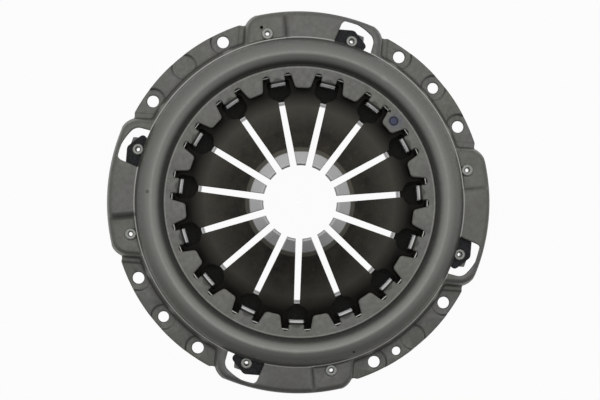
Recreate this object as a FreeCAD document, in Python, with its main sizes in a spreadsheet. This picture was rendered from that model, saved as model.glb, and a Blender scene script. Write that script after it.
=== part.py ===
import FreeCAD, Part
import math
import os
import Sketcher
from FreeCAD import Placement, Rotation, Vector

# Diaphragm-spring clutch pressure plate for a disc of about 240 mm, in millimetres and degrees.
# +Z points to the gearbox, +X and +Y lie in the flywheel face, and z = 0 is the bolting plane.

doc = FreeCAD.newDocument("ClutchPressurePlate")
sheet = doc.addObject("Spreadsheet::Sheet", "Sizes")

SIZES = [
    ("plateSteel", 3.2, "thickness of the pressed cover"),
    ("clocking", -45.0, "turn of the first strap lobe"),
    ("lobeCount", 4, "strap lobes, and flange sectors between them"),
    ("boltCircle", 136.0, "radius of the flywheel bolt circle"),
    ("boltHole", 4.5, "radius of a bolt hole"),
    ("boltSpread", 15.0, "bolt to the middle of its sector"),
    ("dowelHole", 4.15, "radius of a dowel hole"),
    ("tagHole", 3.3, "radius of the small single hole"),
    ("tagHoleCircle", 137.0, "distance of the small hole from the axis"),
    ("tagHoleSteps", 7, "half sectors from the first lobe to the small hole"),
    ("tagHoleTurn", -7.0, "small hole from the middle of its sector"),
    ("flangeRadius", 143.5, "outer radius of the flange"),
    ("ribRise", 1.3, "rise of the flange ribs over the bolt pads"),
    ("ribStart", 4.2, "near edge of a rib from the sector middle"),
    ("ribEnd", 11.1, "far edge of a rib from the sector middle"),
    ("wallFoot", 129.5, "radius of the drum wall at the flange"),
    ("wallDraft", 10.5, "lean of the drum wall"),
    ("footRound", 2.5, "bend between flange and wall, outside"),
    ("beadCrest", 42.0, "height of the bead"),
    ("beadInner", 103.5, "radius where the bead leaves the tooth ring"),
    ("beadSlope", 36.0, "slope of the bead's inner side"),
    ("beadInnerRound", 12.0, "inner shoulder of the bead"),
    ("beadOuterRound", 9.0, "outer shoulder of the bead"),
    ("beadFootRound", 1.5, "bend at the foot of the bead"),
    ("toothTop", 37.5, "height of the tooth ring's upper face"),
    ("toothTip", 86.5, "radius of the tooth tips"),
    ("toothCorner", 2.0, "corner radius of a tooth tip"),
    ("toothCount", 15, "spring fingers, teeth and hooks"),
    ("slotTurn", -35.9, "turn of the first spring slot and hook"),
    ("notchRoot", 97.0, "radius of the notch bottoms"),
    ("notchMouth", 7.0, "width of a notch at the tooth tips"),
    ("notchFloor", 5.0, "width of a notch at its bottom"),
    ("notchRound", 2.2, "corner radius of a notch's bottom"),
    ("hookWidth", 11.4, "width of a hook"),
    ("hookLeg", 88.4, "radius of the inner face of a hook's leg"),
    ("hookBend", 3.6, "outer bend radius of a hook"),
    ("hookEnd", 99.5, "radius of a hook's end"),
    ("lobeBase", 1.5, "height of the lobes' lower edge"),
    ("lobeRadius", 147.2, "outer radius of a lobe at its lower edge"),
    ("lobeDraft", 6.0, "lean of a lobe's outer wall"),
    ("lobeHalf", 23.4, "half width of a lobe at its lower edge"),
    ("lobeEndDraft", 6.5, "lean of a lobe's end walls"),
    ("lobeTop", 27.5, "height of a lobe's upper face"),
    ("lobeCorner", 9.0, "upright corner radius of a lobe"),
    ("lobeRound", 5.0, "top edge radius of a lobe"),
    ("seatTop", 24.0, "height of the cover rivet's seat"),
    ("seatTurn", 9.7, "step to the rivet seat, from the lobe's middle"),
    ("portRoot", 126.0, "inner edge of a port"),
    ("portReach", 141.3, "outer edge of a port"),
    ("portNear", 17.0, "near end of a port from the lobe's middle"),
    ("portFar", 48.5, "far end of a port from the lobe's middle"),
    ("portBreak", 31.0, "corner of a port's outer edge"),
    ("portFlare", 5.3, "lean of a port's near end"),
    ("portLean", 7.4, "how far a port's inner edge runs in under the bead"),
    ("portRound", 4.5, "corner radius of a port"),
    ("strapDistance", 125.3, "strap's middle line from the axis"),
    ("coverRivetSide", 34.6, "cover rivet from the lobe's middle"),
    ("plateRivetSide", 29.9, "plate rivet from the lobe's middle"),
    ("leafThickness", 0.8, "thickness of a strap leaf"),
    ("leafWidth", 17.0, "width of a strap leaf"),
    ("leafOverhang", 11.2, "strap end beyond its rivet"),
    ("leafFlat", 9.5, "flat of the strap inside its rivet"),
    ("leafDrop", 2.0, "fall of the strap to the lug at rest"),
    ("leafChamfer", 4.5, "corner cut of a strap leaf"),
    ("rivetBore", 1.5, "bore radius of a rivet"),
    ("rivetShank", 3.0, "shank radius of a rivet"),
    ("rivetHead", 4.1, "head radius of a rivet"),
    ("rivetHeadHeight", 1.7, "head height of a rivet"),
    ("rivetGap", 0.05, "radial clearance round a rivet's shank"),
    ("ringRadius", 97.0, "radius of both fulcrum rings"),
    ("ringWire", 2.0, "wire radius of a fulcrum ring"),
    ("ringGap", 0.05, "clearance at the fulcrum rings"),
    ("springThickness", 2.4, "thickness of the diaphragm spring"),
    ("springOuter", 113.0, "outer radius of the spring"),
    ("springCone", 12.0, "cone angle of the free spring"),
    ("fingerBend", 52.0, "radius of the bend in a finger"),
    ("fingerSlope", 14.5, "slope of a finger inside its bend"),
    ("fingerCrest", 33.5, "radius of a finger's crest"),
    ("fingerTip", 27.5, "radius of a finger's end"),
    ("crestRound", 6.0, "bend radius at a finger's crest"),
    ("tipDip", 0.8, "fall of a finger's end below its crest"),
    ("slotTipHalf", 2.5, "half width of a slot at the tips"),
    ("slotRootHalf", 2.2, "half width of a slot at its window"),
    ("windowInner", 80.0, "inner edge of a spring window"),
    ("windowOuter", 93.5, "outer edge of a spring window"),
    ("windowHalf", 8.5, "half width of a spring window"),
    ("windowFunnel", 4.0, "length of the run from slot to window"),
    ("windowRound", 3.2, "corner radius of a spring window"),
    ("plateInner", 76.0, "inner radius of the pressure plate"),
    ("plateOuter", 121.0, "outer radius of the pressure plate"),
    ("frictionFace", 5.6, "height of the friction face at rest"),
    ("plateBack", 15.6, "height of the plate's back, inside the ridge"),
    ("plateRim", 14.2, "height of the plate's back, outside the ridge"),
    ("ridgeRadius", 110.0, "radius of the ridge that the spring presses"),
    ("ridgeHalf", 1.6, "half width of the ridge at its crest"),
    ("ridgeFoot", 4.5, "half width of the ridge at its foot"),
    ("ridgeGap", 0.3, "gap between ridge and spring at rest"),
    ("lugReach", 135.2, "distance of a lug's end from the axis"),
    ("lugHalf", 11.5, "half width of a lug"),
    ("lugBottom", 7.6, "height of a lug's lower face"),
    ("lugCorner", 6.0, "corner radius of a lug"),
]


class Term:
    # A number together with the sheet formula that gives it.
    def __init__(self, value, text):
        self.value = value
        self.text = text

    def __add__(self, other):
        return join(self, "+", other, self.value + term(other).value)

    def __sub__(self, other):
        return join(self, "-", other, self.value - term(other).value)

    def __mul__(self, other):
        return join(self, "*", other, self.value * term(other).value)

    def __truediv__(self, other):
        return join(self, "/", other, self.value / term(other).value)

    def __neg__(self):
        return Term(-self.value, "(-1 * %s)" % self.text)


def term(thing):
    return thing if isinstance(thing, Term) else Term(float(thing), repr(float(thing)))


def join(left, sign, right, value):
    return Term(value, "(%s %s %s)" % (left.text, sign, term(right).text))


def sine(angle):
    return Term(math.sin(math.radians(angle.value)), "sin(%s)" % angle.text)


def cosine(angle):
    return Term(math.cos(math.radians(angle.value)), "cos(%s)" % angle.text)


def tangent(angle):
    return Term(math.tan(math.radians(angle.value)), "tan(%s)" % angle.text)


def turnOf(arc, radius):
    # The angle in degrees that a length of arc takes at a radius.
    return arc / radius * Term(180.0 / math.pi, "(180 / pi)")


class Sheet:
    pass


d = Sheet()
for row, (alias, value, note) in enumerate(SIZES, start=1):
    sheet.set("A%d" % row, note)
    sheet.set("B%d" % row, str(value))
    sheet.setAlias("B%d" % row, alias)
    setattr(d, alias, Term(float(value), "Sizes." + alias))
doc.recompute()

ZERO = term(0)
SECTOR_TURN = term(180) / d.lobeCount
LAYERS = ("top", "middle", "bottom")   # leaves of a strap pack
MARGIN = term(1)                       # how far a cut starts clear of the metal
BEYOND = 1.2                           # cutting outlines reach this share past the metal
MOST = 0.9                             # an upright edge climbs this share of its height
UPRIGHT = Vector(0, 0, 1)


# Helpers that bind, sketch and build

def bind(thing, prop, value):
    thing.setExpression(prop, term(value).text)


def originOf(body, role):
    return next(f for f in body.Origin.OriginFeatures if f.Role == role)


def newBody(name):
    body = doc.addObject("PartDesign::Body", name)
    body.Label = name
    return body


def place(body, turn, x=ZERO, y=ZERO, z=ZERO):
    # The body is moved to (x, y, z) and then turned about the clutch's axis.
    body.Placement = Placement(Vector(0, 0, 0), Rotation(UPRIGHT, turn.value))
    bind(body, "Placement.Rotation.Angle", turn)
    bind(body, "Placement.Base.x", x * cosine(turn) - y * sine(turn))
    bind(body, "Placement.Base.y", x * sine(turn) + y * cosine(turn))
    bind(body, "Placement.Base.z", z)


def flatSketch(body, name, height=ZERO, turn=ZERO):
    # A sketch across the axis, at a height, turned about the axis.
    sketch = body.newObject("Sketcher::SketchObject", name)
    sketch.AttachmentSupport = [(originOf(body, "XY_Plane"), "")]
    sketch.MapMode = "FlatFace"
    sketch.AttachmentOffset = Placement(Vector(0, 0, height.value), Rotation(UPRIGHT, turn.value or 1.0))
    bind(sketch, "AttachmentOffset.Base.z", height)
    bind(sketch, "AttachmentOffset.Rotation.Angle", turn)
    return sketch


def uprightSketch(body, name, turn=ZERO):
    # A sketch through the axis, x outwards and y upwards, turned about the axis.
    sketch = body.newObject("Sketcher::SketchObject", name)
    sketch.AttachmentSupport = [(originOf(body, "XZ_Plane"), "")]
    sketch.MapMode = "FlatFace"
    sketch.AttachmentOffset = Placement(Vector(0, 0, 0), Rotation(Vector(0, 1, 0), turn.value or 1.0))
    bind(sketch, "AttachmentOffset.Rotation.Angle", turn)
    return sketch


def fix(sketch, kind, items, value):
    index = sketch.addConstraint(Sketcher.Constraint(kind, *items, value.value))
    bind(sketch, "Constraints[%d]" % index, value)


def pin(sketch, element, end, x, y):
    fix(sketch, "DistanceX", (-1, 1, element, end), x)
    fix(sketch, "DistanceY", (-1, 1, element, end), y)


def circle(sketch, x, y, radius):
    ring = sketch.addGeometry(Part.Circle(Vector(x.value, y.value, 0), UPRIGHT, radius.value), False)
    pin(sketch, ring, 3, x, y)
    fix(sketch, "Radius", (ring,), radius)


def outline(sketch, corners):
    # A closed outline through corners (x, y) or (x, y, radius); a radius rounds its corner.
    points = [Vector(c[0].value, c[1].value, 0) for c in corners]
    count = len(corners)
    cuts = []
    for i in range(count):
        back = (points[i - 1] - points[i]).normalize()
        ahead = (points[(i + 1) % count] - points[i]).normalize()
        if len(corners[i]) == 3:
            half = back.getAngle(ahead) / 2
            run = corners[i][2].value / math.tan(half)
            centre = points[i] + (back + ahead).normalize() * (corners[i][2].value / math.sin(half))
            cuts.append((points[i] + back * run, points[i] + ahead * run, centre))
        else:
            cuts.append((points[i], points[i], None))
    sides = []
    for i in range(count):
        line = Part.LineSegment(cuts[i][1], cuts[(i + 1) % count][0])
        sides.append(sketch.addGeometry(line, False))
    for i in range(count):
        start, stop, centre = cuts[i]
        before, after = sides[i - 1], sides[i]
        if centre is None:
            sketch.addConstraint(Sketcher.Constraint("Coincident", before, 2, after, 1))
            pin(sketch, after, 1, corners[i][0], corners[i][1])
            continue
        turnsLeft = (start - centre).cross(stop - centre).z > 0
        first, last = (start, stop) if turnsLeft else (stop, start)
        angles = [math.atan2(p.y - centre.y, p.x - centre.x) for p in (first, last)]
        ring = Part.Circle(centre, UPRIGHT, corners[i][2].value)
        arc = sketch.addGeometry(Part.ArcOfCircle(ring, angles[0], angles[1]), False)
        corner = sketch.addGeometry(Part.Point(points[i]), True)
        entry, leave = (1, 2) if turnsLeft else (2, 1)
        sketch.addConstraint(Sketcher.Constraint("Tangent", before, 2, arc, entry))
        sketch.addConstraint(Sketcher.Constraint("Tangent", arc, leave, after, 1))
        sketch.addConstraint(Sketcher.Constraint("PointOnObject", corner, 1, before))
        sketch.addConstraint(Sketcher.Constraint("PointOnObject", corner, 1, after))
        pin(sketch, corner, 1, corners[i][0], corners[i][1])
        fix(sketch, "Radius", (arc,), corners[i][2])


def sector(sketch, inner, outer, low, high):
    # A ring sector between two radii and two angles.
    arcs = []
    for radius in (inner, outer):
        ring = Part.Circle(Vector(0, 0, 0), UPRIGHT, radius.value)
        span = Part.ArcOfCircle(ring, math.radians(low.value), math.radians(high.value))
        arc = sketch.addGeometry(span, False)
        sketch.addConstraint(Sketcher.Constraint("Coincident", arc, 3, -1, 1))
        fix(sketch, "Radius", (arc,), radius)
        fix(sketch, "DistanceY", (-1, 1, arc, 1), radius * sine(low))
        fix(sketch, "DistanceY", (-1, 1, arc, 2), radius * sine(high))
        arcs.append((arc, [radius.value * math.cos(math.radians(a.value)) for a in (low, high)],
                     [radius.value * math.sin(math.radians(a.value)) for a in (low, high)]))
    for end in (0, 1):
        ends = [Vector(xs[end], ys[end], 0) for arc, xs, ys in arcs]
        side = sketch.addGeometry(Part.LineSegment(ends[0], ends[1]), False)
        sketch.addConstraint(Sketcher.Constraint("Coincident", side, 1, arcs[0][0], end + 1))
        sketch.addConstraint(Sketcher.Constraint("Coincident", side, 2, arcs[1][0], end + 1))


def revolve(body, name, sketch):
    feature = body.newObject("PartDesign::Revolution", name)
    feature.Profile = sketch
    feature.ReferenceAxis = (originOf(body, "Z_Axis"), [""])
    feature.Angle = 360
    return feature


def groove(body, name, sketch):
    feature = body.newObject("PartDesign::Groove", name)
    feature.Profile = sketch
    feature.ReferenceAxis = (originOf(body, "Z_Axis"), [""])
    feature.Angle = 360
    return feature


def pad(body, name, sketch, length, midplane=False):
    feature = body.newObject("PartDesign::Pad", name)
    feature.Profile = sketch
    feature.Midplane = midplane
    bind(feature, "Length", length)
    return feature


def pocket(body, name, sketch, depth=None):
    # Cuts down from the sketch, by a depth or right through.
    feature = body.newObject("PartDesign::Pocket", name)
    feature.Profile = sketch
    if depth is None:
        feature.Type = "ThroughAll"
    else:
        bind(feature, "Length", depth)
    return feature


def around(body, name, features, count):
    # Repeats features, or with None the whole body so far, about the axis.
    pattern = body.newObject("PartDesign::PolarPattern", name)
    if features is None:
        pattern.TransformMode = "Whole shape"
    else:
        pattern.Originals = features
    pattern.Axis = (originOf(body, "Z_Axis"), [""])
    pattern.Angle = 360
    pattern.Occurrences = int(count.value)
    bind(pattern, "Occurrences", count)
    body.Tip = pattern
    doc.recompute()
    return pattern


def combine(body, name, kind, other):
    feature = body.newObject("PartDesign::Boolean", name)
    feature.setObjects([other])
    feature.Type = kind
    body.Tip = feature
    doc.recompute()
    return feature


def roundEdges(body, name, radius, choose, kind="Fillet"):
    # Rounds, or with kind Chamfer cuts, the edges of the body that choose(edge) picks.
    doc.recompute()
    base = body.Tip
    picked = [
        "Edge%d" % number
        for number, edge in enumerate(base.Shape.Edges, start=1)
        if choose(edge)
    ]
    feature = body.newObject("PartDesign::" + kind, name)
    feature.Base = (base, picked)
    bind(feature, "Radius" if kind == "Fillet" else "Size", radius)
    doc.recompute()
    return feature


def level(edge, height, slack=0.01):
    box = edge.BoundBox
    return abs(box.ZMin - height.value) < slack and abs(box.ZMax - height.value) < slack


def rim(edge):
    # The distance of an edge's middle from the axis.
    middle = edge.valueAt((edge.FirstParameter + edge.LastParameter) / 2)
    return math.hypot(middle.x, middle.y)


# Heights that several pieces share
seatUnder = d.seatTop - d.plateSteel
packDepth = d.leafThickness * len(LAYERS)
lugTop = seatUnder - d.leafDrop - packDepth
toothUnder = d.toothTop - d.plateSteel
ringUpper = toothUnder - d.ringGap - d.ringWire
ringReach = (d.springThickness / 2 + d.ringWire + d.ringGap) / cosine(d.springCone)
springPivot = ringUpper - ringReach
ringLower = springPivot - ringReach
hookFloor = ringLower - d.ringWire - d.ringGap
springRise = d.springThickness / (cosine(d.springCone) * 2)
ridgeCrest = springPivot - (d.ridgeRadius + d.ridgeHalf - d.ringRadius) * tangent(d.springCone) - springRise - d.ridgeGap


# Pressed steel cover

def lobeForms(body, inset, base):
    # Four strap lobes as solid forms with a low rivet seat, all faces moved in by inset.
    top = d.lobeTop - inset
    tall = top - base
    lean = tangent(d.lobeDraft)
    baseRadius = d.lobeRadius + (d.lobeBase - base) * lean - inset / cosine(d.lobeDraft)
    topRadius = baseRadius - tall * lean
    root = d.wallFoot - d.lobeTop * tangent(d.wallDraft) - d.plateSteel / 2 - inset * 2
    spread = tangent(d.lobeHalf)
    shift = inset / cosine(d.lobeEndDraft) / cosine(d.lobeHalf) - (d.lobeBase - base) * tangent(d.lobeEndDraft)
    near = root - tall
    far = d.lobeRadius * BEYOND
    plan = flatSketch(body, "lobePlan", base)
    outline(plan, [
        (near, shift - near * spread),
        (far, shift - far * spread),
        (far, far * spread - shift),
        (near, near * spread - shift),
    ])
    lobe = pad(body, "lobe", plan, tall)
    bind(lobe, "TaperAngle", -d.lobeEndDraft)
    outside = uprightSketch(body, "lobeOutside")
    outline(outside, [
        (baseRadius, base),
        (far * 2, base),
        (far * 2, top),
        (topRadius, top),
    ])
    groove(body, "lobeOuterWall", outside)
    inside = uprightSketch(body, "lobeInside")
    outline(inside, [(ZERO, base), (root, base), (root, top), (ZERO, top)])
    groove(body, "lobeInnerEnd", inside)
    roundEdges(body, "lobeCorners", d.lobeCorner - inset,
               lambda e: e.BoundBox.ZLength > tall.value * MOST and rim(e) > (root + topRadius).value / 2)
    roundEdges(body, "lobeEdges", d.lobeRound - inset,
               lambda e: level(e, top) and rim(e) > (root + MARGIN * 2).value)
    seat = flatSketch(body, "seatPlan", top)
    step = d.seatTurn - turnOf(inset, d.boltCircle)
    sector(seat, root - d.plateSteel, d.lobeRadius + d.plateSteel, step, d.lobeHalf + d.seatTurn)
    pocket(body, "seat", seat, d.lobeTop - d.seatTop)


def makeLobes():
    body = newBody("lobeBlocks")
    lobeForms(body, ZERO, d.lobeBase)
    around(body, "lobes", None, d.lobeCount)
    return body


def makeLobeHollows():
    # What the press leaves open: the inside of each lobe, its port and the hole for its cover rivet.
    body = newBody("lobeHollows")
    lobeForms(body, d.plateSteel, -d.plateSteel)
    port = flatSketch(body, "portPlan", seatUnder - MARGIN)
    outline(port, [
        (d.portRoot, -d.portNear),
        (d.portRoot - d.portLean, -d.portFar + d.plateSteel),
        (d.portRoot, -d.portFar, d.portRound),
        (d.portReach, -d.portBreak, d.portRound),
        (d.portReach, -d.portNear - d.portFlare, d.portRound),
    ])
    pad(body, "port", port, d.lobeTop - seatUnder + MARGIN * 2)
    rivet = flatSketch(body, "rivetPlan", seatUnder - MARGIN)
    circle(rivet, d.strapDistance, d.coverRivetSide, d.rivetShank + d.rivetGap)
    pad(body, "rivetHole", rivet, d.plateSteel * 2)
    around(body, "lobes", None, d.lobeCount)
    return body


def makeCover():
    lobes = makeLobes()
    hollows = makeLobeHollows()
    body = newBody("cover")

    # Drum with its tooth ring, bead, wall and flange
    wallShift = d.plateSteel * tangent((term(90) - d.wallDraft) / 2)
    slopeShift = d.plateSteel * tangent(d.beadSlope / 2)
    shoulder = d.wallFoot - (d.beadCrest - d.plateSteel) * tangent(d.wallDraft)
    crestStart = d.beadInner + (d.beadCrest - d.toothTop) / tangent(d.beadSlope)
    crestUnder = d.beadCrest - d.plateSteel
    drum = uprightSketch(body, "drumProfile")
    outline(drum, [
        (d.toothTip, d.toothTop),
        (d.beadInner, d.toothTop, d.beadFootRound),
        (crestStart, d.beadCrest, d.beadInnerRound),
        (shoulder, d.beadCrest, d.beadOuterRound),
        (d.wallFoot, d.plateSteel, d.footRound),
        (d.flangeRadius, d.plateSteel),
        (d.flangeRadius, ZERO),
        (d.wallFoot - wallShift, ZERO, d.footRound + d.plateSteel),
        (shoulder - wallShift, crestUnder, d.beadOuterRound - d.plateSteel),
        (crestStart + slopeShift, crestUnder, d.beadInnerRound - d.plateSteel),
        (d.beadInner + slopeShift, toothUnder, d.beadFootRound + d.plateSteel),
        (d.toothTip, toothUnder),
    ])
    revolve(body, "drum", drum)
    doc.recompute()

    # Notches between the teeth and the hooks
    firstSlot = d.slotTurn - d.clocking
    half = d.hookWidth / 2
    mouth = d.toothTip - d.plateSteel
    bend = d.hookLeg + d.hookBend + d.notchRound / 2
    floorSide = half + d.notchFloor
    mouthSide = half + d.notchMouth
    notch = flatSketch(body, "notchPlan", d.beadCrest, firstSlot)
    outline(notch, [
        (mouth, -mouthSide),
        (mouth, mouthSide),
        (d.notchRoot, floorSide, d.notchRound),
        (d.notchRoot, half, d.notchRound),
        (bend, half),
        (bend, -half),
        (d.notchRoot, -half, d.notchRound),
        (d.notchRoot, -floorSide, d.notchRound),
    ])
    around(body, "notches", [pocket(body, "notchPair", notch, d.beadCrest - toothUnder + MARGIN)], d.toothCount)

    roundEdges(body, "toothCorners", d.toothCorner,
               lambda e: len(e.Vertexes) == 2 and e.BoundBox.ZLength > d.plateSteel.value * MOST
               and rim(e) < (d.toothTip + MARGIN).value)

    # Hooks that hold the fulcrum rings
    hook = uprightSketch(body, "hookProfile", firstSlot)
    inner = d.hookBend - d.plateSteel
    legBack = d.hookLeg + d.plateSteel
    outline(hook, [
        (d.notchRoot, toothUnder),
        (d.notchRoot, d.toothTop),
        (d.hookLeg, d.toothTop, d.hookBend),
        (d.hookLeg, hookFloor - d.plateSteel, d.hookBend),
        (d.hookEnd, hookFloor - d.plateSteel),
        (d.hookEnd, hookFloor),
        (legBack, hookFloor, inner),
        (legBack, toothUnder, inner),
    ])
    around(body, "hooks", [pad(body, "hook", hook, d.hookWidth, True)], d.toothCount)

    # Flange ribs between the bolt pads, raised above and open below
    edge = turnOf(d.plateSteel / 2, d.boltCircle)
    over = flatSketch(body, "ribsOver", d.plateSteel, SECTOR_TURN)
    under = flatSketch(body, "ribsUnder", d.ribRise, SECTOR_TURN)
    for low, high in ((-d.ribEnd, -d.ribStart), (d.ribStart, d.ribEnd)):
        sector(over, d.wallFoot - d.plateSteel / 2, d.flangeRadius, low, high)
        sector(under, d.wallFoot, d.flangeRadius + d.ribRise, low + edge, high - edge)
    around(body, "ribs", [pad(body, "ribPair", over, d.ribRise)], d.lobeCount)
    around(body, "ribHollows", [pocket(body, "ribHollowPair", under, d.ribRise * 2)], d.lobeCount)

    # Flywheel bolt holes, dowel holes and the single small hole
    bolts = flatSketch(body, "boltPlan", d.plateSteel * 2, SECTOR_TURN)
    for side in (-d.boltSpread, d.boltSpread):
        circle(bolts, d.boltCircle * cosine(side), d.boltCircle * sine(side), d.boltHole)
    around(body, "boltHoles", [pocket(body, "boltPair", bolts)], d.lobeCount)
    dowels = flatSketch(body, "dowelPlan", d.plateSteel * 2, SECTOR_TURN)
    circle(dowels, d.boltCircle, ZERO, d.dowelHole)
    circle(dowels, -d.boltCircle, ZERO, d.dowelHole)
    pocket(body, "dowelHoles", dowels)
    tag = flatSketch(body, "tagPlan", d.plateSteel * 2, SECTOR_TURN * d.tagHoleSteps + d.tagHoleTurn)
    circle(tag, d.tagHoleCircle, ZERO, d.tagHole)
    pocket(body, "tagHoleCut", tag)
    doc.recompute()

    # The lobes stand outside the drum and open into it
    combine(body, "lobesJoined", "Fuse", lobes)
    combine(body, "lobesOpened", "Cut", hollows)
    place(body, d.clocking)
    return body


# Cast iron pressure plate
def makePressurePlate():
    body = newBody("pressure_plate")
    ring = uprightSketch(body, "plateProfile")
    outline(ring, [
        (d.plateInner, d.frictionFace),
        (d.plateOuter, d.frictionFace),
        (d.plateOuter, d.plateRim),
        (d.ridgeRadius + d.ridgeFoot, d.plateRim),
        (d.ridgeRadius + d.ridgeHalf, ridgeCrest),
        (d.ridgeRadius - d.ridgeHalf, ridgeCrest),
        (d.ridgeRadius - d.ridgeFoot, d.plateBack),
        (d.plateInner, d.plateBack),
    ])
    revolve(body, "plateRing", ring)
    lug = flatSketch(body, "lugPlan", d.lugBottom)
    near = d.ridgeRadius
    outline(lug, [
        (near, -d.plateRivetSide - d.lugHalf),
        (d.lugReach, -d.plateRivetSide - d.lugHalf, d.lugCorner),
        (d.lugReach, d.lugHalf - d.plateRivetSide, d.lugCorner),
        (near, d.lugHalf - d.plateRivetSide),
    ])
    around(body, "lugs", [pad(body, "lug", lug, lugTop - d.lugBottom)], d.lobeCount)
    hole = flatSketch(body, "lugHolePlan", lugTop + MARGIN)
    circle(hole, d.strapDistance, -d.plateRivetSide, d.rivetShank + d.rivetGap)
    around(body, "lugHoles", [pocket(body, "lugHole", hole)], d.lobeCount)
    place(body, d.clocking)
    return body


# Diaphragm spring
def makeSpring():
    body = newBody("diaphragm_spring")
    cone = tangent(d.springCone)
    slope = tangent(d.fingerSlope)
    rimMiddle = springPivot - (d.springOuter - d.ringRadius) * cone
    bendMiddle = springPivot + (d.ringRadius - d.fingerBend) * cone
    crestMiddle = bendMiddle + (d.fingerBend - d.fingerCrest) * slope
    tipMiddle = crestMiddle - d.tipDip
    profile = uprightSketch(body, "springProfile")
    outline(profile, [
        (d.springOuter, rimMiddle - springRise),
        (d.springOuter, rimMiddle + springRise),
        (d.fingerBend, bendMiddle + springRise, d.fingerBend),
        (d.fingerCrest, crestMiddle + springRise, d.crestRound + d.springThickness),
        (d.fingerTip, tipMiddle + springRise),
        (d.fingerTip, tipMiddle - springRise),
        (d.fingerCrest, crestMiddle - springRise, d.crestRound),
        (d.fingerBend, bendMiddle - springRise, d.fingerBend),
    ])
    revolve(body, "springCone", profile)
    slot = flatSketch(body, "slotPlan", crestMiddle + d.springThickness * 2)
    mouth = d.fingerTip - d.springThickness
    outline(slot, [
        (mouth, -d.slotTipHalf),
        (d.windowInner - d.windowFunnel, -d.slotRootHalf),
        (d.windowInner, -d.windowHalf, d.windowRound),
        (d.windowOuter, -d.windowHalf, d.windowRound),
        (d.windowOuter, d.windowHalf, d.windowRound),
        (d.windowInner, d.windowHalf, d.windowRound),
        (d.windowInner - d.windowFunnel, d.slotRootHalf),
        (mouth, d.slotTipHalf),
    ])
    around(body, "slots", [pocket(body, "slot", slot)], d.toothCount)
    place(body, d.slotTurn)
    return body


# Wire fulcrum rings
def makeRing(name, height):
    ring = doc.addObject("Part::Torus", name)
    ring.Label = name
    bind(ring, "Radius1", d.ringRadius)
    bind(ring, "Radius2", d.ringWire)
    bind(ring, "Placement.Base.z", height)
    return ring


# Spring steel strap leaves, in packs of three from the cover to a lug
def makeLeaf(name, turn, layer):
    body = newBody(name)
    top = seatUnder - d.leafThickness * layer
    low = top - d.leafDrop
    side = uprightSketch(body, "leafSide")
    right = d.coverRivetSide + d.leafOverhang
    left = -d.plateRivetSide - d.leafOverhang
    rightBend = d.coverRivetSide - d.leafFlat
    leftBend = d.leafFlat - d.plateRivetSide
    outline(side, [
        (left, low),
        (left, low - d.leafThickness),
        (leftBend, low - d.leafThickness),
        (rightBend, top - d.leafThickness),
        (right, top - d.leafThickness),
        (right, top),
        (rightBend, top),
        (leftBend, low),
    ])
    pad(body, "leafStrip", side, d.leafWidth, True)
    end = -(left + MARGIN).value
    roundEdges(body, "leafCorners", d.leafChamfer,
               lambda e: e.BoundBox.ZLength > MOST * e.Length and abs(e.CenterOfMass.x) > end, "Chamfer")
    holes = flatSketch(body, "leafHoles", d.seatTop)
    circle(holes, d.coverRivetSide, ZERO, d.rivetShank + d.rivetGap)
    circle(holes, -d.plateRivetSide, ZERO, d.rivetShank + d.rivetGap)
    pocket(body, "leafHolePair", holes)
    place(body, turn + 90, ZERO, -d.strapDistance)
    return body


# Tubular rivets
def makeRivet(name, turn, along, low, high):
    body = newBody(name)
    bottom = low - d.rivetHeadHeight
    crown = high + d.rivetHeadHeight
    curl = d.rivetHeadHeight / 2
    profile = uprightSketch(body, "rivetProfile")
    outline(profile, [
        (d.rivetBore, bottom),
        (d.rivetHead - curl, bottom),
        (d.rivetHead, bottom + curl),
        (d.rivetHead, low),
        (d.rivetShank, low),
        (d.rivetShank, high),
        (d.rivetHead, high),
        (d.rivetHead, crown - curl),
        (d.rivetHead - curl, crown),
        (d.rivetBore, crown),
    ])
    revolve(body, "rivetTurned", profile)
    place(body, turn, d.strapDistance, along)
    return body


pieces = [
    makeCover(),
    makePressurePlate(),
    makeSpring(),
    makeRing("upper_fulcrum_ring", ringUpper),
    makeRing("lower_fulcrum_ring", ringLower),
]
for lobe, letter in enumerate("abcd"):
    turn = d.clocking + SECTOR_TURN * 2 * lobe
    for layer, layerName in enumerate(LAYERS):
        pieces.append(makeLeaf("strap_%s_%s_leaf" % (letter, layerName), turn, layer))
    pieces.append(makeRivet("cover_rivet_" + letter, turn, d.coverRivetSide, seatUnder - packDepth, d.seatTop))
    pieces.append(makeRivet("plate_rivet_" + letter, turn, -d.plateRivetSide, d.lugBottom, lugTop + packDepth))
doc.recompute()

for thing in doc.Objects:
    if "Invalid" in thing.State or "Error" in thing.State:
        raise RuntimeError("%s failed: %s" % (thing.Name, thing.getStatusString()))
for piece in pieces:
    if piece.Shape.isNull() or not piece.Shape.isValid():
        raise RuntimeError("%s has no valid shape" % piece.Label)
os.makedirs("parts", exist_ok=True)
for piece in pieces:
    piece.Shape.exportStep("parts/%s.step" % piece.Label)
    print(piece.Label, len(piece.Shape.Solids), "solid,", round(piece.Shape.Volume / 1000, 2), "cm3")
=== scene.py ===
import math

import bmesh
import bpy
import numpy as np
from mathutils import Matrix, Vector


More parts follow.
